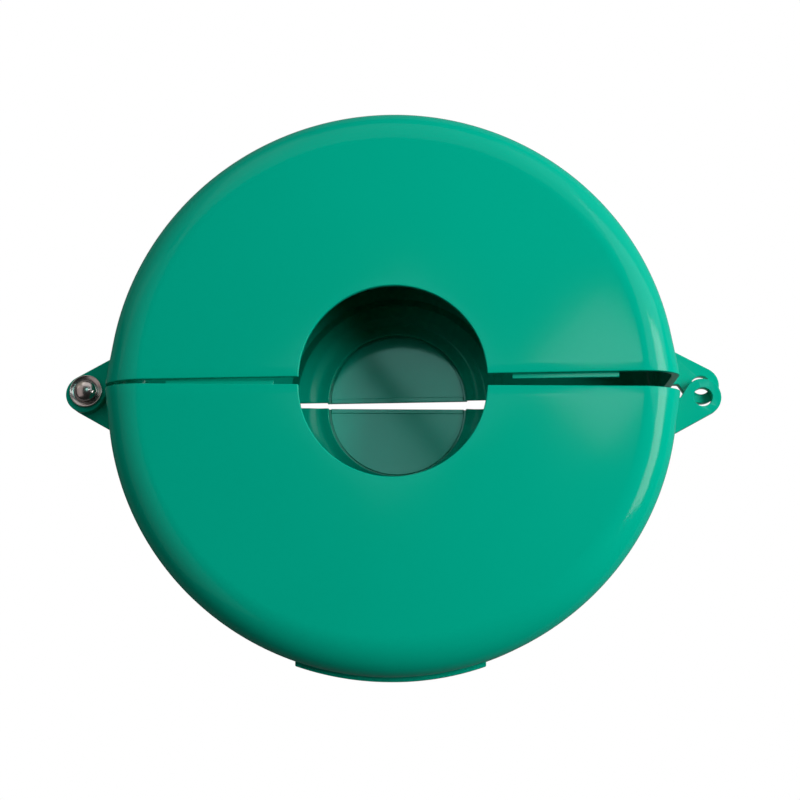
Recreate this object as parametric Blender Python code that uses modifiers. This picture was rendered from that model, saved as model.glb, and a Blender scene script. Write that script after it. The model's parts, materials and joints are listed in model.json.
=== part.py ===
"""Hinged handwheel cover for locking out a gate valve.

Two identical moulded half drums turn about one rivet and close round a valve's handwheel, with the
valve stem in the round hole of the front wall. A padlock through the two lugs opposite the rivet keeps
the drum shut. The second half is the first one turned half a turn about the drum's axis.

Metres, +Z up. The cover lies on its back wall: +Z is the drum's axis, the rivet is towards -X and the
padlock lugs are towards +X. The origin is on the drum's axis, in the plane of the back face.
"""

import math

import bmesh
import bpy

# Drum
DRUM_RADIUS = 0.138
DRUM_DEPTH = 0.063
WALL = 0.0025
EDGE_RADIAL = 0.0185  # the rounding between side wall and face, measured along the face
EDGE_AXIAL = 0.013  # and along the side wall
STEM_HOLE_RADIUS = 0.045
SEAM_GAP_FRONT = 0.0013  # between the closed halves at the front face
SEAM_GAP_BACK = 0.0003
OPENING = math.radians(1.3)  # how far the halves stand apart at rest

# Back wall: it rises inside DISH_OUTER to a shallow well, whose hole the knock-out disc closes from outside
DISH_OUTER = 0.056
DISH_INNER = 0.052
DISH_RISE = 0.0022
KNOCKOUT_RADIUS = 0.0356
KNOCKOUT_OVERLAP = 0.0008
KNOCKOUT_THICKNESS = 0.0019
KNOCKOUT_RIB_WIDTH = 0.0023
KNOCKOUT_RIB_HEIGHT = 0.0005
KNOCKOUT_RIB_INSET = 0.0012  # from the rib's ends to the edge of the hole

# Shallow moat round the knock-out disc, inside
MOAT_OUTER = 0.046
MOAT_RADIUS = 0.041
MOAT_DEPTH = 0.0008

# Lugs, in two layers that lap at half depth
LUG_REACH = 0.1535  # from the drum's axis to the holes
LUG_END_RADIUS = 0.0093
LUG_THICKNESS = 0.0043
LUG_ROOT = 0.0200  # how far from the seam a lug's outer edge meets the side wall
LUG_FLARE = 0.1422  # where its edge along the seam turns out to the round end
LUG_HOLE_RADIUS = 0.0047
FLAT_START = 0.026  # behind a lug the side wall runs straight, from this far off the seam
FLAT_REACH = 0.1399  # to here at the seam

# Tongue on the front wall's edge, which slips under the other half's front wall
TONGUE_START = 0.0572
TONGUE_END = 0.1087
TONGUE_REACH = 0.0023
TONGUE_THICKNESS = 0.002
TONGUE_ROOT = 0.006
TONGUE_ROOT_INSET = 0.0005

# Raised pad on the side wall, opposite the seam
PAD_CHORD = 0.0897
PAD_PROUD = 0.0021
PAD_LOW = 0.016
PAD_HIGH = 0.047

# Hinge rivet and its washers, which sit to one side in the lugs' wider holes
FIXING_OFFSET = (0.0008, 0.0011)
SHOULDER_RADIUS = 0.0033
NECK_RADIUS = 0.0025
HEAD_RADIUS = 0.0055
HEAD_HEIGHT = 0.0034
TAIL_HEIGHT = 0.0024
WASHER_RADIUS = 0.008
WASHER_BORE_RADIUS = 0.0028
WASHER_THICKNESS = 0.0012

CLEARANCE = 0.0003  # between pieces that touch
WELD = 0.0015  # how far a piece that stands on the side wall reaches into it
EDGE_STEPS = 5
TURN_STEPS = 96
SMALL_TURN_STEPS = 40
MERGE = 0.00001
SHARP_ANGLE = math.radians(30)

GREEN = (0.0, 0.30, 0.21)
NICKEL = (0.62, 0.60, 0.58)

MID_DEPTH = DRUM_DEPTH / 2


def clear_scene():
    for obj in list(bpy.data.objects):
        bpy.data.objects.remove(obj)


def new_collection(name, hidden=False):
    collection = bpy.data.collections.new(name)
    collection.hide_render = hidden
    bpy.context.scene.collection.children.link(collection)
    return collection


def material(name, colour, roughness, metallic=0.0):
    made = bpy.data.materials.new(name)
    made.use_nodes = True
    shader = made.node_tree.nodes["Principled BSDF"]
    shader.inputs["Base Color"].default_value = (*colour, 1.0)
    shader.inputs["Roughness"].default_value = roughness
    shader.inputs["Metallic"].default_value = metallic
    return made


def add_object(name, data, collection):
    obj = bpy.data.objects.new(name, data)
    collection.objects.link(obj)
    return obj


def as_cutter(obj):
    obj.hide_render = True
    obj.display_type = "WIRE"
    return obj


def box(name, low, high, collection):
    """A box between two corners."""
    mesh = bpy.data.meshes.new(name)
    bm = bmesh.new()
    bmesh.ops.create_cube(bm, size=1.0)
    size = [b - a for a, b in zip(low, high)]
    middle = [(a + b) / 2 for a, b in zip(low, high)]
    bmesh.ops.scale(bm, vec=size, verts=bm.verts)
    bmesh.ops.translate(bm, vec=middle, verts=bm.verts)
    bm.to_mesh(mesh)
    bm.free()
    return add_object(name, mesh, collection)


def cylinder(name, radius, centre, depth, collection):
    """A closed cylinder along Z about a point."""
    mesh = bpy.data.meshes.new(name)
    bm = bmesh.new()
    bmesh.ops.create_cone(
        bm, cap_ends=True, segments=SMALL_TURN_STEPS, radius1=radius, radius2=radius, depth=depth
    )
    bmesh.ops.translate(bm, vec=centre, verts=bm.verts)
    bm.to_mesh(mesh)
    bm.free()
    return add_object(name, mesh, collection)


def turned(name, profile, collection, steps, closed=True):
    """A profile of (radius, height) turned about Z. An open profile starts and ends on the axis."""
    mesh = bpy.data.meshes.new(name)
    bm = bmesh.new()
    points = [bm.verts.new((radius, 0.0, height)) for radius, height in profile]
    for start, end in zip(points, points[1:] + points[:1] if closed else points[1:]):
        bm.edges.new((start, end))
    bm.to_mesh(mesh)
    bm.free()
    obj = add_object(name, mesh, collection)
    screw = obj.modifiers.new("turn", "SCREW")
    screw.angle = 2 * math.pi
    screw.steps = steps
    screw.render_steps = steps
    screw.use_merge_vertices = True
    screw.merge_threshold = MERGE
    return obj


def plate(name, outline, low, high, collection):
    """A flat outline of (x, y) points, as a closed mesh from one height to another."""
    curve = bpy.data.curves.new(name, "CURVE")
    curve.dimensions = "2D"
    curve.fill_mode = "BOTH"
    curve.extrude = (high - low) / 2
    spline = curve.splines.new("POLY")
    spline.points.add(len(outline) - 1)
    for point, (x, y) in zip(spline.points, outline):
        point.co = (x, y, 0.0, 1.0)
    spline.use_cyclic_u = True
    guide = add_object(name + "_outline", curve, collection)
    guide.location.z = (low + high) / 2
    mesh = evaluated_mesh(guide)
    obj = add_object(name, mesh, collection)
    obj.matrix_world = guide.matrix_world
    bpy.data.objects.remove(guide)
    bm = bmesh.new()
    bm.from_mesh(mesh)
    bmesh.ops.remove_doubles(bm, verts=bm.verts, dist=MERGE)
    bmesh.ops.recalc_face_normals(bm, faces=bm.faces)
    bm.to_mesh(mesh)
    bm.free()
    return obj


def evaluated_mesh(obj):
    """The mesh that an object's modifiers make."""
    bpy.context.view_layer.update()
    graph = bpy.context.evaluated_depsgraph_get()
    return bpy.data.meshes.new_from_object(obj.evaluated_get(graph))


def boolean(obj, other, operation):
    modifier = obj.modifiers.new(f"{operation.lower()} {other.name}", "BOOLEAN")
    modifier.operation = operation
    modifier.solver = "EXACT"
    modifier.object = as_cutter(other)


def ellipse_quarter(centre, radial, axial, start):
    """Points of a quarter ellipse in the (radius, height) plane, clockwise from the angle start."""
    angles = [start - i * math.pi / 2 / EDGE_STEPS for i in range(EDGE_STEPS + 1)]
    return [
        (centre[0] + radial * math.cos(angle), centre[1] + axial * math.sin(angle))
        for angle in angles
    ]


def drum_profile():
    """The drum's wall, from the stem hole over the outer side to the back, and back along the inside."""
    flat = DRUM_RADIUS - EDGE_RADIAL
    inner_radial = EDGE_RADIAL - WALL
    inner_axial = EDGE_AXIAL - WALL
    top = DRUM_DEPTH - EDGE_AXIAL
    outside = [(STEM_HOLE_RADIUS, DRUM_DEPTH)]
    outside += ellipse_quarter((flat, top), EDGE_RADIAL, EDGE_AXIAL, math.pi / 2)
    outside += ellipse_quarter((flat, EDGE_AXIAL), EDGE_RADIAL, EDGE_AXIAL, 0.0)
    outside += [(DISH_OUTER, 0.0), (DISH_INNER, DISH_RISE), (KNOCKOUT_RADIUS, DISH_RISE)]
    inside = ellipse_quarter((flat, top), inner_radial, inner_axial, math.pi / 2)
    inside += ellipse_quarter((flat, EDGE_AXIAL), inner_radial, inner_axial, 0.0)
    well = DISH_RISE + WALL
    inside += [(DISH_OUTER, WALL), (DISH_INNER, well)]
    inside += [(MOAT_OUTER, well), (MOAT_RADIUS, well - MOAT_DEPTH), (KNOCKOUT_RADIUS, well)]
    return outside + inside[::-1] + [(STEM_HOLE_RADIUS, DRUM_DEPTH - WALL)]


def seam_cutter(name, collection):
    """A block over the other half's side of the seam. Its face leans with the seam's draft."""
    reach = 2 * DRUM_RADIUS
    lean = math.atan2((SEAM_GAP_FRONT - SEAM_GAP_BACK) / 2, DRUM_DEPTH)
    block = box(name, (-reach, 0.0, -reach), (reach, reach, reach), collection)
    block.location.y = -SEAM_GAP_BACK / 2
    block.rotation_euler.x = lean
    return block


def flat_outline(side):
    """The outline of the straight stretch of side wall behind a lug."""
    edge = -SEAM_GAP_FRONT / 2
    inside = DRUM_RADIUS - WELD
    start_x = math.sqrt(DRUM_RADIUS**2 - FLAT_START**2)
    inside_x = math.sqrt(inside**2 - FLAT_START**2)
    outline = [(inside, edge), (FLAT_REACH, edge), (start_x, -FLAT_START), (inside_x, -FLAT_START)]
    return [(side * x, y) for x, y in outline]


def lug_outline(side):
    """A lug's outline: a web from the side wall on the -Y side, and a round end about the hole."""
    edge = -SEAM_GAP_FRONT / 2
    root_x = math.sqrt(DRUM_RADIUS**2 - LUG_ROOT**2)
    inside = DRUM_RADIUS - WELD
    flare = math.hypot(LUG_REACH - LUG_FLARE, edge)
    flare_slope = math.atan2(-edge, LUG_REACH - LUG_FLARE) + math.asin(LUG_END_RADIUS / flare)
    web = math.hypot(LUG_REACH - root_x, LUG_ROOT)
    first = flare_slope + math.pi / 2
    last = math.atan2(-LUG_ROOT, root_x - LUG_REACH) + math.acos(LUG_END_RADIUS / web)
    steps = SMALL_TURN_STEPS // 2
    angles = [first + (last - first) * i / steps for i in range(steps + 1)]
    round_end = [
        (LUG_REACH + LUG_END_RADIUS * math.cos(a), LUG_END_RADIUS * math.sin(a)) for a in angles
    ]
    root = [(root_x, -LUG_ROOT), (math.sqrt(inside**2 - LUG_ROOT**2), -LUG_ROOT)]
    outline = [(inside, edge), (LUG_FLARE, edge)] + round_end + root
    return [(side * x, y) for x, y in outline]


def add_lug(shell, name, side, low, collection):
    """One lug, the straight stretch of side wall behind it, and the hole through it."""
    high = low + LUG_THICKNESS
    flat = plate(name + "_flat", flat_outline(side), EDGE_AXIAL, DRUM_DEPTH - EDGE_AXIAL, collection)
    boolean(shell, flat, "UNION")
    boolean(shell, plate(name, lug_outline(side), low, high, collection), "UNION")
    centre = (side * LUG_REACH, 0.0, (low + high) / 2)
    hole = cylinder(name + "_hole", LUG_HOLE_RADIUS, centre, 2 * LUG_THICKNESS, collection)
    boolean(shell, hole, "DIFFERENCE")


def add_tongue(shell, collection):
    """A strip along the front wall's seam edge: its root joins the wall, its tip is one wall lower."""
    tip_top = DRUM_DEPTH - WALL - CLEARANCE
    tip_low = (-TONGUE_END, -TONGUE_ROOT, tip_top - TONGUE_THICKNESS)
    tip_high = (-TONGUE_START, TONGUE_REACH - SEAM_GAP_FRONT / 2, tip_top)
    tip = box("tongue_tip", tip_low, tip_high, collection)
    inset = TONGUE_ROOT_INSET
    root_low = (-TONGUE_END + inset, -TONGUE_ROOT + inset, tip_top - TONGUE_THICKNESS / 2)
    root_high = (-TONGUE_START - inset, -SEAM_GAP_FRONT, DRUM_DEPTH - WALL / 2)
    root = box("tongue_root", root_low, root_high, collection)
    boolean(shell, root, "UNION")
    boolean(shell, tip, "UNION")


def add_pad(shell, collection):
    """A plain raised band on the side wall, square at its ends."""
    inner = DRUM_RADIUS - WELD
    outer = DRUM_RADIUS + PAD_PROUD
    profile = [(inner, PAD_HIGH), (outer, PAD_HIGH), (outer, PAD_LOW), (inner, PAD_LOW)]
    band = turned("pad", profile, collection, TURN_STEPS)
    low = (-PAD_CHORD / 2, -2 * DRUM_RADIUS, 0.0)
    high = (PAD_CHORD / 2, -DRUM_RADIUS / 2, DRUM_DEPTH)
    boolean(band, box("pad_ends", low, high, collection), "INTERSECT")
    boolean(shell, band, "UNION")


def half_shell_mesh(cutters):
    """One moulded half, on the -Y side of the seam, in the drum's own frame."""
    shell = turned("half_shell", drum_profile(), cutters, TURN_STEPS)
    boolean(shell, seam_cutter("seam", cutters), "DIFFERENCE")
    add_pad(shell, cutters)
    add_lug(shell, "lock_lug", 1, MID_DEPTH + CLEARANCE / 2, cutters)
    add_lug(shell, "hinge_lug", -1, MID_DEPTH - CLEARANCE / 2 - LUG_THICKNESS, cutters)
    add_tongue(shell, cutters)
    mesh = evaluated_mesh(shell)
    as_cutter(shell)
    return mesh


def half_knockout_mesh(cutters):
    """Half of the knock-out disc, with a rib along its straight edge."""
    radius = KNOCKOUT_RADIUS + KNOCKOUT_OVERLAP
    top = KNOCKOUT_THICKNESS
    profile = [(0.0, top), (radius, top), (radius, 0.0), (0.0, 0.0)]
    disc = turned("half_disc", profile, cutters, TURN_STEPS, closed=False)
    half_length = KNOCKOUT_RADIUS - KNOCKOUT_RIB_INSET
    rib_low = (-half_length, -SEAM_GAP_BACK / 2 - KNOCKOUT_RIB_WIDTH, top / 2)
    rib_high = (half_length, SEAM_GAP_BACK, top + KNOCKOUT_RIB_HEIGHT)
    boolean(disc, box("edge_rib", rib_low, rib_high, cutters), "UNION")
    boolean(disc, seam_cutter("disc_seam", cutters), "DIFFERENCE")
    mesh = evaluated_mesh(disc)
    as_cutter(disc)
    return mesh


def hinge_layers():
    """Heights of the lug stack's two outer faces."""
    return (
        MID_DEPTH - CLEARANCE / 2 - LUG_THICKNESS,
        MID_DEPTH + CLEARANCE / 2 + LUG_THICKNESS,
    )


def rivet_profile():
    """A shouldered rivet: domed head, neck, shoulder in the lugs, neck, and a low formed tail."""
    low, high = hinge_layers()
    head = high + WASHER_THICKNESS + 2 * CLEARANCE
    tail = low - WASHER_THICKNESS - 2 * CLEARANCE
    steps = 2 * EDGE_STEPS
    angles = [i * math.pi / 2 / steps for i in range(steps + 1)]
    dome = [(HEAD_RADIUS * math.sin(a), head + HEAD_HEIGHT * math.cos(a)) for a in angles]
    button = [(HEAD_RADIUS * math.cos(a), tail - TAIL_HEIGHT * math.sin(a)) for a in angles]
    middle = [
        (NECK_RADIUS, head), (NECK_RADIUS, high), (SHOULDER_RADIUS, high),
        (SHOULDER_RADIUS, low), (NECK_RADIUS, low), (NECK_RADIUS, tail),
    ]
    return [(0.0, head + HEAD_HEIGHT)] + dome[1:] + middle + button[:-1] + [(0.0, tail - TAIL_HEIGHT)]


def washer_profile(low):
    high = low + WASHER_THICKNESS
    return [
        (WASHER_BORE_RADIUS, high), (WASHER_RADIUS, high), (WASHER_RADIUS, low), (WASHER_BORE_RADIUS, low)
    ]


def place(obj, parent, finish, turn=0.0):
    """Hangs a piece in the drum's own frame from the empty on the hinge axis."""
    obj.parent = parent
    obj.location = (LUG_REACH, 0.0, 0.0)
    obj.rotation_euler.z = turn
    shade(obj, finish)


def shade(obj, finish):
    obj.data.materials.clear()
    obj.data.materials.append(finish)
    obj.data.shade_smooth()
    obj.data.set_sharp_from_angle(angle=SHARP_ANGLE)


def main():
    clear_scene()
    cover = new_collection("valve_handwheel_cover")
    cutters = new_collection("cutters", hidden=True)
    plastic = material("green_plastic", GREEN, 0.32)
    disc_plastic = material("green_plastic_knockout", GREEN, 0.32)
    metal = material("nickel_plated_steel", NICKEL, 0.2, metallic=1.0)

    hinges = {}
    for name, angle in (("lower_hinge", -OPENING / 2), ("upper_hinge", OPENING / 2)):
        hinge = add_object(name, None, cover)
        hinge.location = (-LUG_REACH, 0.0, 0.0)
        hinge.rotation_euler.z = angle
        hinges[name] = hinge

    shell = half_shell_mesh(cutters)
    place(add_object("lower_half_shell", shell, cover), hinges["lower_hinge"], plastic)
    place(add_object("upper_half_shell", shell, cover), hinges["upper_hinge"], plastic, math.pi)

    disc = half_knockout_mesh(cutters)
    place(add_object("lower_knockout", disc, cover), hinges["lower_hinge"], disc_plastic)
    place(add_object("upper_knockout", disc, cover), hinges["upper_hinge"], disc_plastic, math.pi)

    low, high = hinge_layers()
    fixings = (
        ("hinge_rivet", rivet_profile(), False),
        ("front_washer", washer_profile(high + CLEARANCE), True),
        ("back_washer", washer_profile(low - CLEARANCE - WASHER_THICKNESS), True),
    )
    for name, profile, closed in fixings:
        piece = turned(name, profile, cover, SMALL_TURN_STEPS, closed)
        piece.parent = hinges["lower_hinge"]
        piece.location = (*FIXING_OFFSET, 0.0)
        shade(piece, metal)


main()
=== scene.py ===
"""The looks of the hinged gate-valve handwheel cover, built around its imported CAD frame.

Metres, +Z up, in the CAD's own frame: the drum lies on its back wall, its axis is +Z, the rivet is towards
-X and the padlock lugs are towards +X. Each half is modelled once, on the -Y side of the seam in the drum's
own frame, and is then set where the CAD has it at rest.
"""

import json
import math

import bmesh
import bpy
from mathutils import Matrix, Vector


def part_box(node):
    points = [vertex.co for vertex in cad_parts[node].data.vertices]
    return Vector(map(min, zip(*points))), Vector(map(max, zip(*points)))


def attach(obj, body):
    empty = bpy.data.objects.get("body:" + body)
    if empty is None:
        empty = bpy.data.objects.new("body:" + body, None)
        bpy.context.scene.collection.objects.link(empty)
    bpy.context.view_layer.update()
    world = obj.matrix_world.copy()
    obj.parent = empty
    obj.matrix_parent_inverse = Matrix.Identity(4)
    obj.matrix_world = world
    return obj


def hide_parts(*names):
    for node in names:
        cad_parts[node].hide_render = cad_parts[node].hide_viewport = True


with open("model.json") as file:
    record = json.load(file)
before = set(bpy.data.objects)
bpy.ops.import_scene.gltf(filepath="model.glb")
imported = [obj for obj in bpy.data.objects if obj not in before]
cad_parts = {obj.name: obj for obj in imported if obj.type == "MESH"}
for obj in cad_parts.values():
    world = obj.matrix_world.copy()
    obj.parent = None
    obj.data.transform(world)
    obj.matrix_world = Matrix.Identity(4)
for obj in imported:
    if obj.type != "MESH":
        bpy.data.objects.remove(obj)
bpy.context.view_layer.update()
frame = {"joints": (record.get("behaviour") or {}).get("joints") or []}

# ---------------------------------------------------------------- sizes, from the frame where it holds them

HINGE = frame["joints"][0]
HINGE_AT = Vector(HINGE["pos_m"])
OPENING = math.radians(-HINGE["range_deg"][0])  # how far the halves stand apart at rest
LUG_REACH = -HINGE_AT.x
DRUM_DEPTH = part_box("lower_half_shell")[1].z
MID_DEPTH = DRUM_DEPTH / 2

DRUM_RADIUS = 0.138
WALL = 0.0025
EDGE_RADIAL = 0.0185  # the rounding between side wall and face, measured along the face
EDGE_AXIAL = 0.013  # and along the side wall
STEM_HOLE_RADIUS = 0.045
SEAM_GAP_FRONT = 0.0013  # between the closed halves at the front face
SEAM_GAP_BACK = 0.0003
SEAM_TIP = 0.0002  # how far the outer skin falls away towards the seam
SEAM_TIP_WIDTH = 0.005
SEAM_TIP_POWER = 1.3  # 1 would be a straight slope

DISH_OUTER = 0.056
DISH_INNER = 0.052
DISH_RISE = 0.0022
KNOCKOUT_RADIUS = 0.0356
KNOCKOUT_OVERLAP = 0.0008
KNOCKOUT_THICKNESS = 0.0019
KNOCKOUT_GROOVE_WIDTH = 0.0009  # the thin ring round the disc where it breaks out
KNOCKOUT_GROOVE_DEPTH = 0.0011
KNOCKOUT_RIB_WIDTH = 0.0023
KNOCKOUT_RIB_HEIGHT = 0.0005
KNOCKOUT_RIB_INSET = 0.0012  # from the rib's ends to the edge of the hole

# Shallow moat round the knock-out disc, inside
MOAT_OUTER = 0.046
MOAT_RADIUS = 0.041
MOAT_DEPTH = 0.0008
MOAT_ROUND = 0.012  # radius of its soft bends

LUG_END_RADIUS = 0.00929
LUG_THICKNESS = 0.0043
LUG_ROOT = 0.0200  # how far from the seam a lug's outer edge meets the side wall
LUG_FLARE = 0.1422  # where its edge along the seam turns out to the round end
LUG_FILLET = 0.0015
LUG_HOLE_RADIUS = 0.0047
FLAT_START = 0.026  # behind a lug the side wall runs straight, from this far off the seam
FLAT_REACH = 0.1399  # to here at the seam

TONGUE_START = 0.0572
TONGUE_END = 0.1087
TONGUE_REACH = 0.0023
TONGUE_THICKNESS = 0.002
TONGUE_ROOT = 0.006
TONGUE_ROOT_INSET = 0.0005

PAD_CHORD = 0.0897
PAD_PROUD = 0.00209
PAD_LOW = 0.016
PAD_HIGH = 0.047

SHOULDER_RADIUS = 0.0033
NECK_RADIUS = 0.0025
HEAD_RADIUS = 0.0055
HEAD_HEIGHT = 0.0034
TAIL_HEIGHT = 0.0024
WASHER_RADIUS = 0.008
WASHER_BORE_RADIUS = 0.0028
WASHER_THICKNESS = 0.0012
WASHER_RIM = 0.0004
WASHER_HOLLOW = 0.0005
HOLLOW_SWEEP = 0.7 * math.pi  # of the sine that the hollow follows from its rim inwards

CLEARANCE = 0.0003  # between pieces that touch
FINE_GAP = 0.0001  # between the knock-out disc's rim and the back wall over it
WELD = 0.0015  # how far a piece that stands on the side wall reaches into it

# Roundings that the CAD leaves sharp
SEAM_EDGE = 0.0004
LIP = 0.0006
FINE_EDGE = 0.0003
LUG_EDGE = 0.0004
PAD_EDGE = 0.0004

# How finely the shapes are divided
ARC_STEPS = 4
ELLIPSE_STEPS = 28
DOME_STEPS = 16
HOLLOW_STEPS = 12
LUG_STEPS = 48
TURN_STEPS = 96
LUG_HOLE_STEPS = 64
DISC_STEPS = 128
SEAM_SPANS = 6
PAD_SPANS = 40
TURN_COLUMNS = 132
LONGEST_SPAN = 0.006
MERGE = 0.00001  # points of a turned or flat shape that are closer than this are one
SLIVER = 0.0000001  # corners that a Boolean leaves this close together are merged
SHARP_ANGLE = math.radians(38)  # edges that turn more than this stay sharp
FACE_AREA_WEIGHT = 80  # above 50, large faces lead when the normals are averaged

# The studio
WHITE = (1.0, 1.0, 1.0)
CAMERA_AT = Vector((0.02517, -0.14221, 0.67406))
CAMERA_TURN = (-0.1898, 0.0183, 0.0068)
CAMERA_FOCAL = 1313.4 / 800  # in picture widths
CAMERA_SHIFT = (-0.0875, 0.0375)
SENSOR = 36.0
FACE_LIGHT_AT = Vector((0.241, 0.275, 1.2))
PAIR_CENTRE = Vector((-0.045, 0.28, 1.3))
PAIR_LEAN = math.radians(40)  # from the seam to the line across the gap
PAIR_GAP = 0.03
PAIR_SIZE = (0.12, 0.26)
PAIR_WATTS = 0.22
PAIR_COLOUR = (0.42, 1.0, 0.92)  # tinted for the light that bounces about inside the green halves
STAGE_CENTRE = Vector((0.0, 0.0, 0.03))
DOME_RADIUS = 1.3
FLOOR_REACH = 3.0
FLOOR_DROP = 0.0002


# ---------------------------------------------------------------- mesh tools


def add_mesh(name, bm):
    """A new object from a bmesh, which is used up."""
    bmesh.ops.recalc_face_normals(bm, faces=bm.faces)
    mesh = bpy.data.meshes.new(name)
    bm.to_mesh(mesh)
    bm.free()
    obj = bpy.data.objects.new(name, mesh)
    bpy.context.scene.collection.objects.link(obj)
    return obj


def applied(obj):
    """Bakes an object's modifiers into its mesh."""
    bpy.context.view_layer.update()
    graph = bpy.context.evaluated_depsgraph_get()
    mesh = bpy.data.meshes.new_from_object(obj.evaluated_get(graph))
    obj.modifiers.clear()
    obj.data = mesh


def combined(obj, other, operation):
    """A Boolean of two closed meshes, which uses up the second. In triangles, no flat face loses a corner."""
    for mesh in (obj.data, other.data):
        bm = bmesh.new()
        bm.from_mesh(mesh)
        bmesh.ops.triangulate(bm, faces=bm.faces[:])
        bm.to_mesh(mesh)
        bm.free()
    modifier = obj.modifiers.new(operation.lower(), "BOOLEAN")
    modifier.operation = operation
    modifier.solver = "EXACT"
    modifier.object = other
    applied(obj)
    bpy.data.objects.remove(other)


def cleaned(obj):
    """The same object, with the corners merged that the Booleans leave on top of each other."""
    bm = bmesh.new()
    bm.from_mesh(obj.data)
    bmesh.ops.remove_doubles(bm, verts=bm.verts, dist=SLIVER)
    bm.to_mesh(obj.data)
    bm.free()
    return obj


def rounded(corners):
    """A closed loop of (x, y, radius, inner) corners, each rounded with an arc, as (x, y, inner) points."""
    points = []
    for i, (x, y, radius, inner) in enumerate(corners):
        here = Vector((x, y))
        if radius == 0:
            points.append((x, y, inner))
            continue
        before = (Vector(corners[i - 1][:2]) - here).normalized()
        after = (Vector(corners[(i + 1) % len(corners)][:2]) - here).normalized()
        half = before.angle(after) / 2
        centre = here + (before + after).normalized() * radius / math.sin(half)
        start = here + before * radius / math.tan(half) - centre
        sweep = math.pi - 2 * half
        if before.x * after.y - before.y * after.x > 0:
            sweep = -sweep
        for step in range(ARC_STEPS + 1):
            turned_by = Matrix.Rotation(sweep * step / ARC_STEPS, 2)
            spot = centre + turned_by @ start
            points.append((spot.x, spot.y, inner))
    return points


def divided(loop):
    """The same closed loop with its long straight stretches divided."""
    points = []
    for (x, y, inner), (next_x, next_y, _) in zip(loop, loop[1:] + loop[:1]):
        pieces = max(1, math.ceil(math.hypot(next_x - x, next_y - y) / LONGEST_SPAN))
        for step in range(pieces):
            share = step / pieces
            points.append((x + (next_x - x) * share, y + (next_y - y) * share, inner))
    return points


def inward_normals(loop):
    """For a closed loop that runs clockwise, the unit normal into the material at each point."""
    normals = []
    for i in range(len(loop)):
        before, after = loop[i - 1], loop[(i + 1) % len(loop)]
        along = Vector((after[0] - before[0], after[1] - before[1])).normalized()
        normals.append(Vector((along.y, -along.x)))
    return normals


def lofted(name, rings, inner_flags):
    """Skins closed rings of points into a closed mesh, where inner faces take the second material."""
    bm = bmesh.new()
    rows = [[bm.verts.new(point) for point in ring] for ring in rings]
    count = len(rings[0])
    for first, second in zip(rows, rows[1:]):
        for i in range(count):
            j = (i + 1) % count
            face = bm.faces.new((first[i], first[j], second[j], second[i]))
            face.material_index = 1 if inner_flags[i] and inner_flags[j] else 0
    bm.faces.new(rows[0])
    bm.faces.new(rows[-1])
    return add_mesh(name, bm)


def turned(name, profile, steps=TURN_STEPS):
    """A profile of (radius, height), closed or from the axis to the axis, turned about Z."""
    on_axis = profile[0][0] == 0.0
    bm = bmesh.new()
    rows = []
    for i in range(steps):
        angle = 2 * math.pi * i / steps
        rows.append([bm.verts.new((r * math.cos(angle), r * math.sin(angle), z)) for r, z in profile])
    spans = range(len(profile) - 1) if on_axis else range(len(profile))
    for i in range(steps):
        here, there = rows[i], rows[(i + 1) % steps]
        for j in spans:
            k = (j + 1) % len(profile)
            bm.faces.new((here[j], here[k], there[k], there[j]))
    bmesh.ops.remove_doubles(bm, verts=bm.verts, dist=MERGE)
    bmesh.ops.dissolve_degenerate(bm, edges=bm.edges, dist=MERGE)
    return add_mesh(name, bm)


def plate(name, outline, low, high, edge):
    """A flat outline as a plate whose rim is rounded on both sides."""
    bm = bmesh.new()
    bottom = bm.faces.new([bm.verts.new((x, y, low)) for x, y in outline])
    raised = bmesh.ops.extrude_face_region(bm, geom=[bottom])
    top_verts = [v for v in raised["geom"] if isinstance(v, bmesh.types.BMVert)]
    bmesh.ops.translate(bm, vec=(0, 0, high - low), verts=top_verts)
    if edge:
        rims = [e for e in bm.edges if abs(e.verts[0].co.z - e.verts[1].co.z) < MERGE]
        bmesh.ops.bevel(bm, geom=rims, offset=edge, segments=ARC_STEPS, profile=0.5, affect="EDGES")
    return add_mesh(name, bm)


def block(name, low, high, edge):
    """A box between two corners, with its edges rounded unless edge is 0."""
    bm = bmesh.new()
    bmesh.ops.create_cube(bm, size=1.0)
    bmesh.ops.scale(bm, vec=[b - a for a, b in zip(low, high)], verts=bm.verts)
    bmesh.ops.translate(bm, vec=[(a + b) / 2 for a, b in zip(low, high)], verts=bm.verts)
    if edge:
        bmesh.ops.bevel(bm, geom=bm.edges[:], offset=edge, segments=ARC_STEPS, profile=0.5, affect="EDGES")
    return add_mesh(name, bm)


def smooth(obj):
    """Smooth shading that keeps large flat faces flat."""
    obj.data.shade_smooth()
    obj.data.set_sharp_from_angle(angle=SHARP_ANGLE)
    weighted = obj.modifiers.new("weighted normals", "WEIGHTED_NORMAL")
    weighted.keep_sharp = True
    weighted.weight = FACE_AREA_WEIGHT


# ---------------------------------------------------------------- the moulded half


def seam_offset(height):
    """How far a closed half's cut face stands back from the seam's middle at a height."""
    share = height / DRUM_DEPTH
    return (SEAM_GAP_BACK + (SEAM_GAP_FRONT - SEAM_GAP_BACK) * share) / 2


def ellipse_quarter(radial, axial, middle_height, start, inner):
    """Corners over one rounded edge of the drum, outside or inside."""
    flat = DRUM_RADIUS - EDGE_RADIAL
    corners = []
    for step in range(ELLIPSE_STEPS + 1):
        angle = start - step * math.pi / 2 / ELLIPSE_STEPS
        corners.append((flat + radial * math.cos(angle), middle_height + axial * math.sin(angle), 0, inner))
    return corners


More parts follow.
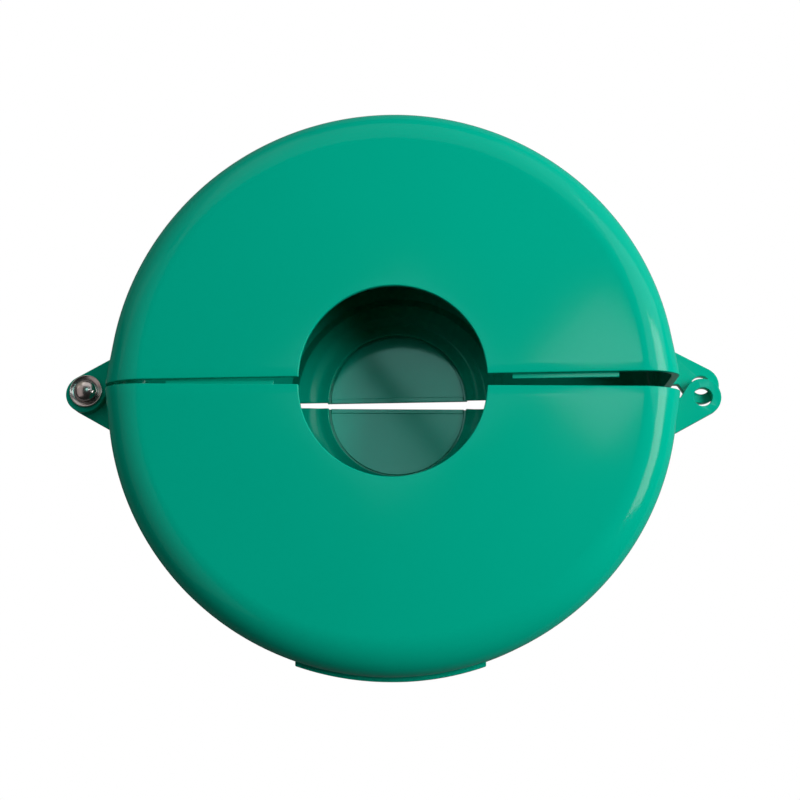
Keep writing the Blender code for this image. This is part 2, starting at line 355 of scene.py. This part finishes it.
def wall_loop():
    """The drum's wall cut through on one side: outside from front to back, then inside to the front."""
    top = DRUM_DEPTH - EDGE_AXIAL
    inner_radial = EDGE_RADIAL - WALL
    inner_axial = EDGE_AXIAL - WALL
    outside = [(STEM_HOLE_RADIUS, DRUM_DEPTH, LIP, False)]
    outside += ellipse_quarter(EDGE_RADIAL, EDGE_AXIAL, top, math.pi / 2, False)
    outside += ellipse_quarter(EDGE_RADIAL, EDGE_AXIAL, EDGE_AXIAL, 0.0, False)
    outside += [
        (DISH_OUTER, 0.0, 2 * LIP, False),
        (DISH_INNER, DISH_RISE, 2 * LIP, False),
        (KNOCKOUT_RADIUS, DISH_RISE, FINE_EDGE, False),
    ]
    inside = [(STEM_HOLE_RADIUS, DRUM_DEPTH - WALL, LIP, True)]
    inside += ellipse_quarter(inner_radial, inner_axial, top, math.pi / 2, True)
    inside += ellipse_quarter(inner_radial, inner_axial, EDGE_AXIAL, 0.0, True)
    well = DISH_RISE + WALL
    inside += [
        (DISH_OUTER, WALL, 2 * LIP, True),
        (DISH_INNER, well, 2 * LIP, True),
        (MOAT_OUTER, well, MOAT_ROUND, True),
        (MOAT_RADIUS, well - MOAT_DEPTH, MOAT_ROUND, True),
        (KNOCKOUT_RADIUS, well, LIP, True),
    ]
    return divided(rounded(outside + inside[::-1]))


def rounded_end(edge):
    """(distance from an end face, how far the skin is drawn in) over an end's rounded edge."""
    angles = [math.pi / 2 * step / ARC_STEPS for step in range(ARC_STEPS + 1)]
    return [(edge * (1 - math.cos(angle)), edge * (1 - math.sin(angle))) for angle in angles]


def seam_stations():
    """(distance from the cut face, how far the skin is drawn in) along the last stretch before the seam."""
    stations = rounded_end(SEAM_EDGE)
    for step in range(1, SEAM_SPANS + 1):
        stations.append((SEAM_EDGE + (SEAM_TIP_WIDTH - SEAM_EDGE) * step / SEAM_SPANS, 0.0))
    return stations


def seam_fall(distance):
    """How far the outer skin lies below its true surface near the seam."""
    return SEAM_TIP * max(0.0, 1 - distance / SEAM_TIP_WIDTH) ** SEAM_TIP_POWER


def straight_swell(off_seam):
    """How far the side wall stands outside the drum's circle where it runs straight, behind the lugs."""
    if off_seam > FLAT_START:
        return 0.0
    leaves_at = math.sqrt(DRUM_RADIUS**2 - FLAT_START**2)
    straight = FLAT_REACH + (leaves_at - FLAT_REACH) * off_seam / FLAT_START
    return max(0.0, straight - math.sqrt(DRUM_RADIUS**2 - off_seam**2))


def wall_ring(loop, normals, distance, drawn_in, share):
    """One ring of the wall. share runs from one end of the half (0) to the other (1)."""
    ring = []
    for (radius, height, inner), normal in zip(loop, normals):
        depth = drawn_in if inner else drawn_in + seam_fall(distance)
        r = radius + normal.x * depth
        z = height + normal.y * depth
        off = math.asin((seam_offset(z) + distance) / r)
        angle = (-math.pi + off) * (1 - share) - off * share
        x, y = r * math.cos(angle), r * math.sin(angle)
        rounding = 0.0 if inner else max(0.0, (radius - DRUM_RADIUS) / EDGE_RADIAL + 1)
        x += math.copysign(rounding**2 * straight_swell(-y), x)
        ring.append((x, y, z))
    return ring


def drum_wall():
    """The half drum's wall from one end of the seam round to the other."""
    loop = wall_loop()
    normals = inward_normals(loop)
    ends = seam_stations()
    rings = [wall_ring(loop, normals, distance, drawn_in, 0.0) for distance, drawn_in in ends]
    rings += [
        wall_ring(loop, normals, SEAM_TIP_WIDTH, 0.0, column / TURN_COLUMNS)
        for column in range(1, TURN_COLUMNS)
    ]
    rings += [wall_ring(loop, normals, distance, drawn_in, 1.0) for distance, drawn_in in ends[::-1]]
    return lofted("drum_wall", rings, [inner for _, _, inner in loop])


def side_pad():
    """The plain raised band on the side wall, square at its ends."""
    root = DRUM_RADIUS - WELD
    proud = DRUM_RADIUS + PAD_PROUD
    corners = [
        (root, PAD_HIGH, 0, False),
        (proud, PAD_HIGH, LIP, False),
        (proud, PAD_LOW, LIP, False),
        (root, PAD_LOW, 0, False),
    ]
    loop = rounded(corners)
    normals = inward_normals(loop)
    half = PAD_CHORD / 2
    ends = rounded_end(PAD_EDGE)
    stations = [(distance - half, drawn_in) for distance, drawn_in in ends]
    stations += [((half - PAD_EDGE) * (2 * step / PAD_SPANS - 1), 0.0) for step in range(1, PAD_SPANS)]
    stations += [(half - distance, drawn_in) for distance, drawn_in in ends[::-1]]
    rings = []
    for x, drawn_in in stations:
        ring = []
        for (radius, height, _), normal in zip(loop, normals):
            r = radius + normal.x * drawn_in
            ring.append((x, -math.sqrt(r * r - x * x), height + normal.y * drawn_in))
        rings.append(ring)
    return lofted("side_pad", rings, [False] * len(loop))


def lug_outline(side):
    """A lug's outline: a web from the side wall on the -Y side, and a round end about the hole."""
    edge = -SEAM_GAP_FRONT / 2
    root_x = math.sqrt(DRUM_RADIUS**2 - LUG_ROOT**2)
    inside = DRUM_RADIUS - WELD
    flare = math.hypot(LUG_REACH - LUG_FLARE, edge)
    flare_slope = math.atan2(-edge, LUG_REACH - LUG_FLARE) + math.asin(LUG_END_RADIUS / flare)
    web = math.hypot(LUG_REACH - root_x, LUG_ROOT)
    first = flare_slope + math.pi / 2
    last = math.atan2(-LUG_ROOT, root_x - LUG_REACH) + math.acos(LUG_END_RADIUS / web)
    corners = [(inside, edge, 0, False), (LUG_FLARE, edge, LUG_FILLET, False)]
    for step in range(LUG_STEPS + 1):
        a = first + (last - first) * step / LUG_STEPS
        corners.append((LUG_REACH + LUG_END_RADIUS * math.cos(a), LUG_END_RADIUS * math.sin(a), 0, False))
    corners.append((root_x, -LUG_ROOT, 0, False))
    corners.append((math.sqrt(inside**2 - LUG_ROOT**2), -LUG_ROOT, 0, False))
    return [(side * x, y) for x, y, _ in rounded(corners)]


def lug_hole(side, low, high):
    """The space that a lug's hole takes, flared where its edges are rounded."""
    out = LUG_HOLE_RADIUS + 2 * LUG_EDGE
    corners = [(out, low - LUG_EDGE), (out, low)]
    for along, drawn_in in rounded_end(LUG_EDGE):
        corners.append((LUG_HOLE_RADIUS + drawn_in, low + along))
    mirrored = [(r, low + high - z) for r, z in corners[::-1]]
    profile = [(0.0, low - LUG_EDGE)] + corners + mirrored + [(0.0, high + LUG_EDGE)]
    hole = turned("lug_hole", profile, LUG_HOLE_STEPS)
    hole.location = (side * LUG_REACH, 0.0, 0.0)
    return hole


def tongue():
    """The root and tip of the strip on the front wall's seam edge that slips under the other half's."""
    tip_top = DRUM_DEPTH - WALL - CLEARANCE
    low = (-TONGUE_END, -TONGUE_ROOT, tip_top - TONGUE_THICKNESS)
    high = (-TONGUE_START, TONGUE_REACH - SEAM_GAP_FRONT / 2, tip_top)
    tip = block("tongue_tip", low, high, FINE_EDGE)
    inset = TONGUE_ROOT_INSET
    root_low = (-TONGUE_END + inset, -TONGUE_ROOT + inset, tip_top - TONGUE_THICKNESS / 2)
    root_high = (-TONGUE_START - inset, -SEAM_GAP_FRONT, DRUM_DEPTH - WALL / 2)
    root = block("tongue_root", root_low, root_high, 0)
    return root, tip


def half_shell(name):
    """One half's moulding: wall, pad, a lug in each layer, and the tongue."""
    shell = drum_wall()
    shell.name = name
    combined(shell, side_pad(), "UNION")
    layers = (
        (1, MID_DEPTH + CLEARANCE / 2),
        (-1, MID_DEPTH - CLEARANCE / 2 - LUG_THICKNESS),
    )
    for side, low in layers:
        high = low + LUG_THICKNESS
        combined(shell, plate("lug", lug_outline(side), low, high, LUG_EDGE), "UNION")
        combined(shell, lug_hole(side, low, high), "DIFFERENCE")
    for strip in tongue():
        combined(shell, strip, "UNION")
    return cleaned(shell)


# ---------------------------------------------------------------- knock-out discs and hinge fixings


def half_knockout(name):
    """Half of the disc that breaks out of the back wall, with a rib along its straight edge."""
    radius = KNOCKOUT_RADIUS + KNOCKOUT_OVERLAP
    inner = KNOCKOUT_RADIUS - KNOCKOUT_GROOVE_WIDTH
    top = KNOCKOUT_THICKNESS
    profile = [(0.0, top)]
    profile += [(inner - drawn_in, top - along) for along, drawn_in in rounded_end(FINE_EDGE)]
    groove = top - KNOCKOUT_GROOVE_DEPTH
    lip = DISH_RISE - FINE_GAP
    profile += [(inner, groove), (KNOCKOUT_RADIUS, groove), (KNOCKOUT_RADIUS, lip)]
    profile += [(radius, lip), (radius, 0.0), (0.0, 0.0)]
    disc = turned(name, profile, DISC_STEPS)
    half_length = KNOCKOUT_RADIUS - KNOCKOUT_RIB_INSET
    rib_low = (-half_length, -SEAM_GAP_BACK / 2 - KNOCKOUT_RIB_WIDTH, top / 2)
    rib_high = (half_length, KNOCKOUT_RIB_WIDTH, top + KNOCKOUT_RIB_HEIGHT)
    combined(disc, block("edge_rib", rib_low, rib_high, FINE_EDGE), "UNION")
    reach = 2 * KNOCKOUT_RADIUS
    cutter = block("disc_seam", (-reach, 0.0, -reach), (reach, reach, reach), 0)
    cutter.location.y = -SEAM_GAP_BACK / 2
    cutter.rotation_euler.x = math.atan2((SEAM_GAP_FRONT - SEAM_GAP_BACK) / 2, DRUM_DEPTH)
    combined(disc, cutter, "DIFFERENCE")
    return cleaned(disc)


def hinge_layers():
    """Heights of the lug stack's two outer faces."""
    return (
        MID_DEPTH - CLEARANCE / 2 - LUG_THICKNESS,
        MID_DEPTH + CLEARANCE / 2 + LUG_THICKNESS,
    )


def standing_at_hinge(piece):
    """The same turned piece, moved over to the rivet's own axis."""
    low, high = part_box("hinge_rivet")
    middle = (low + high) / 2
    piece.data.transform(Matrix.Translation((middle.x, middle.y, 0.0)))
    return piece


def hinge_rivet():
    """A shouldered rivet: domed head, neck, shoulder in the lugs, neck, and a low formed tail."""
    low, high = hinge_layers()
    head = high + WASHER_THICKNESS + 2 * CLEARANCE
    tail = low - WASHER_THICKNESS - 2 * CLEARANCE
    quarter = [i * math.pi / 2 / DOME_STEPS for i in range(DOME_STEPS + 1)]
    dome = [(HEAD_RADIUS * math.sin(a), head + HEAD_HEIGHT * math.cos(a)) for a in quarter]
    button = [(HEAD_RADIUS * math.cos(a), tail - TAIL_HEIGHT * math.sin(a)) for a in quarter]
    dome[0] = (0.0, dome[0][1])
    button[-1] = (0.0, button[-1][1])
    middle = [
        (NECK_RADIUS, head),
        (NECK_RADIUS, high),
        (SHOULDER_RADIUS, high),
        (SHOULDER_RADIUS, low),
        (NECK_RADIUS, low),
        (NECK_RADIUS, tail),
    ]
    rivet = turned("hinge_rivet_turned", dome + middle + button)
    return standing_at_hinge(rivet)


def washer(name, low, facing):
    """A washer whose outer face is hollowed between a thin rim and the rivet's head. facing is 1 for up."""
    hollow_start = WASHER_RADIUS - WASHER_RIM
    hollow_end = HEAD_RADIUS - 2 * FINE_EDGE
    hollow = []
    for step in range(HOLLOW_STEPS + 1):
        share = step / HOLLOW_STEPS
        r = hollow_end + (hollow_start - hollow_end) * (1 - share)
        hollow.append((r, WASHER_THICKNESS - WASHER_HOLLOW * math.sin(share * HOLLOW_SWEEP), 0, False))
    floor = hollow[-1][1]
    corners = [(WASHER_BORE_RADIUS, 0.0, FINE_EDGE, False), (WASHER_BORE_RADIUS, floor, 0, False)]
    corners += hollow[::-1]
    corners.append((WASHER_RADIUS, WASHER_THICKNESS, FINE_EDGE, False))
    corners.append((WASHER_RADIUS, 0.0, FINE_EDGE, False))
    start = low if facing > 0 else low + WASHER_THICKNESS
    ring = turned(name, [(r, start + facing * z) for r, z, _ in rounded(corners)])
    return standing_at_hinge(ring)


# ---------------------------------------------------------------- materials

POLYPROPYLENE_IOR = 1.49
EDGE_POINTINESS = (0.53, 0.6)  # 0.5 is flat, and convex edges lie above it
NOISE_MIDDLE = (0.3, 0.7)  # the band that most of a noise's values fall in


class Nodes:
    """A material's node tree, with short calls to add a node and to join two sockets."""

    def __init__(self, name):
        self.material = bpy.data.materials.new(name)
        self.material.use_nodes = True
        self.tree = self.material.node_tree
        self.shader = self.tree.nodes["Principled BSDF"]
        self.place = self.add("ShaderNodeTexCoord").outputs["Object"]

    def add(self, kind, **settings):
        node = self.tree.nodes.new(kind)
        for key, value in settings.items():
            setattr(node, key, value)
        return node

    def join(self, output, target):
        self.tree.links.new(output, target)

    def noise(self, scale, detail=2.0, roughness=0.5):
        node = self.add("ShaderNodeTexNoise")
        node.inputs["Scale"].default_value = scale
        node.inputs["Detail"].default_value = detail
        node.inputs["Roughness"].default_value = roughness
        self.join(self.place, node.inputs["Vector"])
        return node.outputs["Fac"]

    def ranged(self, value, low, high, to_low=0.0, to_high=1.0):
        node = self.add("ShaderNodeMapRange")
        ends = {"From Min": low, "From Max": high, "To Min": to_low, "To Max": to_high}
        for name, number in ends.items():
            node.inputs[name].default_value = number
        self.join(value, node.inputs["Value"])
        return node.outputs["Result"]

    def maths(self, operation, first, second):
        node = self.add("ShaderNodeMath", operation=operation)
        for value, socket in zip((first, second), node.inputs):
            if isinstance(value, (int, float)):
                socket.default_value = value
            else:
                self.join(value, socket)
        return node.outputs["Value"]

    def mixed(self, factor, first, second):
        node = self.add("ShaderNodeMix", data_type="RGBA")
        self.join(factor, node.inputs["Factor"])
        for value, socket in ((first, node.inputs["A"]), (second, node.inputs["B"])):
            if isinstance(value, tuple):
                socket.default_value = (*value, 1.0)
            else:
                self.join(value, socket)
        return node.outputs["Result"]

    def bumped(self, height, distance, over=None):
        node = self.add("ShaderNodeBump")
        node.inputs["Strength"].default_value = 1.0
        node.inputs["Distance"].default_value = distance
        self.join(height, node.inputs["Height"])
        if over is not None:
            self.join(over, node.inputs["Normal"])
        return node.outputs["Normal"]

    def worn_edges(self):
        """Convex edges, broken up by a noise."""
        pointiness = self.add("ShaderNodeNewGeometry").outputs["Pointiness"]
        edge = self.ranged(pointiness, *EDGE_POINTINESS)
        patches = self.ranged(self.noise(140.0, 4.0), 0.42, 0.62)
        return self.maths("MULTIPLY", edge, patches)


def moulded_green(name, base, dark, pale, specular, rough_low, rough_high):
    """Moulded polypropylene: drifting pigment, orange peel, a fine tool grain and slightly scuffed edges."""
    nodes = Nodes(name)
    drift = nodes.ranged(nodes.noise(9.0, 3.0), *NOISE_MIDDLE)
    mottle = nodes.ranged(nodes.noise(260.0, 3.0), 0.35, 0.65, 0.0, 0.35)
    colour = nodes.mixed(drift, dark, base)
    colour = nodes.mixed(mottle, colour, base)
    scuff = nodes.worn_edges()
    colour = nodes.mixed(nodes.maths("MULTIPLY", scuff, 0.35), colour, pale)
    nodes.join(colour, nodes.shader.inputs["Base Color"])
    haze = nodes.ranged(nodes.noise(22.0, 4.0, 0.6), *NOISE_MIDDLE, rough_low, rough_high)
    roughness = nodes.maths("ADD", haze, nodes.maths("MULTIPLY", scuff, 0.15))
    nodes.join(roughness, nodes.shader.inputs["Roughness"])
    peel = nodes.bumped(nodes.noise(420.0, 2.0), 0.000003)
    grain = nodes.bumped(nodes.noise(3000.0, 2.0), 0.0000004, over=peel)
    nodes.join(grain, nodes.shader.inputs["Normal"])
    nodes.shader.inputs["Specular IOR Level"].default_value = specular
    nodes.shader.inputs["IOR"].default_value = POLYPROPYLENE_IOR
    return nodes.material


def nickel_plate():
    """Nickel plate: slight patchy tarnish, fine pits, brighter worn edges."""
    nodes = Nodes("nickel_plated_steel")
    tarnish = nodes.ranged(nodes.noise(350.0, 3.0), 0.35, 0.65)
    colour = nodes.mixed(tarnish, (0.55, 0.47, 0.46), (0.62, 0.55, 0.53))
    edge = nodes.worn_edges()
    colour = nodes.mixed(edge, colour, (0.88, 0.87, 0.85))
    nodes.join(colour, nodes.shader.inputs["Base Color"])
    haze = nodes.ranged(nodes.noise(900.0, 3.0), *NOISE_MIDDLE, 0.2, 0.26)
    nodes.join(haze, nodes.shader.inputs["Roughness"])
    pits = nodes.bumped(nodes.noise(1800.0, 2.0), 0.0000003)
    nodes.join(pits, nodes.shader.inputs["Normal"])
    nodes.shader.inputs["Metallic"].default_value = 1.0
    return nodes.material


# ---------------------------------------------------------------- putting it together


def at_rest(turn, side):
    """From the drum's own frame to where a half stands at rest."""
    swing = Matrix.Rotation(side * OPENING / 2, 4, "Z")
    turned_half = Matrix.Rotation(turn, 4, "Z")
    return Matrix.Translation(HINGE_AT) @ (swing @ Matrix.Translation(-HINGE_AT) @ turned_half)


def placed_copy(pattern, name, matrix):
    """A copy whose place is in its mesh, as the CAD nodes' places are."""
    mesh = pattern.data.copy()
    mesh.transform(matrix)
    obj = bpy.data.objects.new(name, mesh)
    bpy.context.scene.collection.objects.link(obj)
    return obj


def finish_piece(piece, body, node, slot, *materials):
    """Shades a piece, gives it its materials and says what it stands for."""
    smooth(piece)
    piece.data.materials.clear()
    for made in materials:
        piece.data.materials.append(made)
    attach(piece, body)
    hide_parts(node)


def build_object():
    """Every visible piece, each on its CAD node's body."""
    outside = moulded_green(
        "green_plastic",
        base=(0.0, 0.395, 0.262),
        dark=(0.0, 0.38, 0.25),
        pale=(0.06, 0.48, 0.36),
        specular=0.1,
        rough_low=0.09,
        rough_high=0.13,
    )
    inside = moulded_green(
        "green_plastic_inside",
        base=(0.0, 0.34, 0.225),
        dark=(0.0, 0.325, 0.213),
        pale=(0.04, 0.42, 0.32),
        specular=0.4,
        rough_low=0.24,
        rough_high=0.3,
    )
    # The knock-out's plastic is given a brighter base than the wall's: painted light, standing in for the
    # light that reaches the disc through the stem hole.
    knockout_green_painted_light = moulded_green(
        "green_plastic_knockout",
        base=(0.0, 0.46, 0.33),
        dark=(0.0, 0.445, 0.318),
        pale=(0.04, 0.5, 0.38),
        specular=0.5,
        rough_low=0.07,
        rough_high=0.11,
    )
    nickel = nickel_plate()

    half = half_shell("half_shell")
    disc = half_knockout("half_disc")
    for name, turn, side in (("lower", 0.0, -1), ("upper", math.pi, 1)):
        shell = placed_copy(half, f"{name}_half_moulding", at_rest(turn, side))
        panel = placed_copy(disc, f"{name}_knockout_disc", at_rest(turn, side))
        finish_piece(shell, f"{name}_half", f"{name}_half_shell", "green_plastic", outside, inside)
        finish_piece(panel, f"{name}_half", f"{name}_knockout", "green_plastic_knockout", knockout_green_painted_light)

    for pattern in (half, disc):
        bpy.data.objects.remove(pattern)

    low, high = hinge_layers()
    fixings = (
        (hinge_rivet(), "hinge_rivet"),
        (washer("front_washer_ring", high + CLEARANCE, 1), "front_washer"),
        (washer("back_washer_ring", low - CLEARANCE - WASHER_THICKNESS, -1), "back_washer"),
    )
    for piece, node in fixings:
        finish_piece(piece, "lower_half", node, "nickel_plated_steel", nickel)


# ---------------------------------------------------------------- studio


def area_light(name, at, size, watts, colour=WHITE, roll=0.0):
    """A rectangular light that faces the cover, its first side along X before it is rolled."""
    light = bpy.data.lights.new(name, "AREA")
    light.shape = "RECTANGLE"
    light.size, light.size_y = size
    light.energy = watts
    light.color = colour
    obj = bpy.data.objects.new(name, light)
    back = (Vector(at) - STAGE_CENTRE).normalized()
    across = (Vector((1.0, 0.0, 0.0)) - back * back.x).normalized()
    up = back.cross(across)
    facing = Matrix((across, up, back)).transposed().to_4x4()
    obj.matrix_world = Matrix.Translation(at) @ facing @ Matrix.Rotation(roll, 4, "Z")
    bpy.context.scene.collection.objects.link(obj)


def softbox(name, azimuth, elevation, size, watts, colour=WHITE):
    """A soft light on a dome about the cover. Azimuth 0 is towards +X and 90 towards +Y."""
    turn, rise = math.radians(azimuth), math.radians(elevation)
    level = math.cos(rise)
    direction = Vector((level * math.cos(turn), level * math.sin(turn), math.sin(rise)))
    area_light(name, direction * DOME_RADIUS, size, watts, colour)


def overhead_pair():
    """Two small panels high behind the cover. The knock-out disc mirrors the gap between them."""
    apart = Vector((math.cos(PAIR_LEAN), math.sin(PAIR_LEAN), 0.0)) * (PAIR_GAP + PAIR_SIZE[0]) / 2
    for name, side in (("overhead_right", 1), ("overhead_left", -1)):
        area_light(name, PAIR_CENTRE + side * apart, PAIR_SIZE, PAIR_WATTS, PAIR_COLOUR, PAIR_LEAN)


def studio_world():
    """White to the camera, and a dim even surround for everything else."""
    world = bpy.data.worlds.new("studio")
    world.use_nodes = True
    bpy.context.scene.world = world
    tree = world.node_tree
    surround = tree.nodes["Background"]
    surround.inputs["Color"].default_value = (0.9, 1.0, 0.95, 1.0)
    surround.inputs["Strength"].default_value = 0.02
    seen = tree.nodes.new("ShaderNodeBackground")
    seen.inputs["Strength"].default_value = 1.0
    seen.inputs["Color"].default_value = (1.0, 1.0, 1.0, 1.0)
    mix = tree.nodes.new("ShaderNodeMixShader")
    path = tree.nodes.new("ShaderNodeLightPath")
    tree.links.new(path.outputs["Is Camera Ray"], mix.inputs["Fac"])
    tree.links.new(surround.outputs[0], mix.inputs[1])
    tree.links.new(seen.outputs[0], mix.inputs[2])
    tree.links.new(mix.outputs[0], tree.nodes["World Output"].inputs["Surface"])


def studio_floor():
    """A plain pale sheet under the cover, lit evenly to white. It is clear from below, and to the lights."""
    bm = bmesh.new()
    bmesh.ops.create_grid(bm, x_segments=1, y_segments=1, size=FLOOR_REACH)
    bmesh.ops.translate(bm, vec=(0, 0, -FLOOR_DROP), verts=bm.verts)
    floor = add_mesh("floor", bm)
    material = bpy.data.materials.new("pale_floor")
    material.use_nodes = True
    tree = material.node_tree
    tree.nodes.clear()
    output = tree.nodes.new("ShaderNodeOutputMaterial")
    pale = tree.nodes.new("ShaderNodeBsdfDiffuse")
    pale.inputs["Color"].default_value = (0.25, 0.25, 0.25, 1.0)
    lit = tree.nodes.new("ShaderNodeEmission")
    lit.inputs["Strength"].default_value = 1.0
    clear = tree.nodes.new("ShaderNodeBsdfTransparent")
    path = tree.nodes.new("ShaderNodeLightPath")
    side = tree.nodes.new("ShaderNodeNewGeometry")
    seen = tree.nodes.new("ShaderNodeMixShader")
    both = tree.nodes.new("ShaderNodeMixShader")
    tree.links.new(path.outputs["Is Camera Ray"], seen.inputs["Fac"])
    tree.links.new(pale.outputs[0], seen.inputs[1])
    tree.links.new(lit.outputs[0], seen.inputs[2])
    clears = tree.nodes.new("ShaderNodeMath")
    clears.operation = "MAXIMUM"
    tree.links.new(side.outputs["Backfacing"], clears.inputs[0])
    tree.links.new(path.outputs["Is Shadow Ray"], clears.inputs[1])
    tree.links.new(clears.outputs[0], both.inputs["Fac"])
    tree.links.new(seen.outputs[0], both.inputs[1])
    tree.links.new(clear.outputs[0], both.inputs[2])
    tree.links.new(both.outputs[0], output.inputs["Surface"])
    floor.data.materials.append(material)


def studio_camera():
    """A camera whose turn is given as the world's turn into its view, about X, then Y, then Z."""
    camera = bpy.data.cameras.new("camera")
    camera.sensor_width = SENSOR
    camera.lens = CAMERA_FOCAL * SENSOR
    camera.shift_x, camera.shift_y = CAMERA_SHIFT
    camera.clip_start = 0.01
    obj = bpy.data.objects.new("camera", camera)
    rx, ry, rz = CAMERA_TURN
    into_view = Matrix.Rotation(rz, 4, "Z") @ Matrix.Rotation(ry, 4, "Y") @ Matrix.Rotation(rx, 4, "X")
    obj.matrix_world = Matrix.Translation(CAMERA_AT) @ into_view.transposed()
    bpy.context.scene.collection.objects.link(obj)
    bpy.context.scene.camera = obj


def studio_lights():
    """A key from the right, soft panels round the cover, and small panels for the plastic to mirror."""
    softbox("key_low_right", 5, 37, (0.42, 0.8), 13.0, (1.0, 1.0, 0.96))
    area_light("mirrored_in_face", FACE_LIGHT_AT, (0.15, 0.15), 0.42, (0.9, 1.0, 1.0), math.radians(45))
    softbox("high_right", 26, 35, (0.9, 0.9), 6.6, (0.8, 0.9, 1.0))
    softbox("top_panel", 90, 38, (1.6, 0.9), 3.3)
    softbox("low_top_right", 45, 20, (1.2, 0.8), 1.2, (0.85, 0.85, 1.0))
    softbox("low_top_left", 135, 20, (1.2, 0.8), 1.0, (1.0, 1.0, 0.85))
    softbox("left_card", 180, 42, (1.0, 1.6), 2.2, (1.0, 0.9, 0.88))
    area_light("under_panel", (0.0, 0.0, -DOME_RADIUS), (1.2, 1.2), 12.0)
    overhead_pair()
    bpy.context.scene.view_settings.view_transform = "Standard"


build_object()
studio_world()
studio_floor()
studio_lights()
studio_camera()
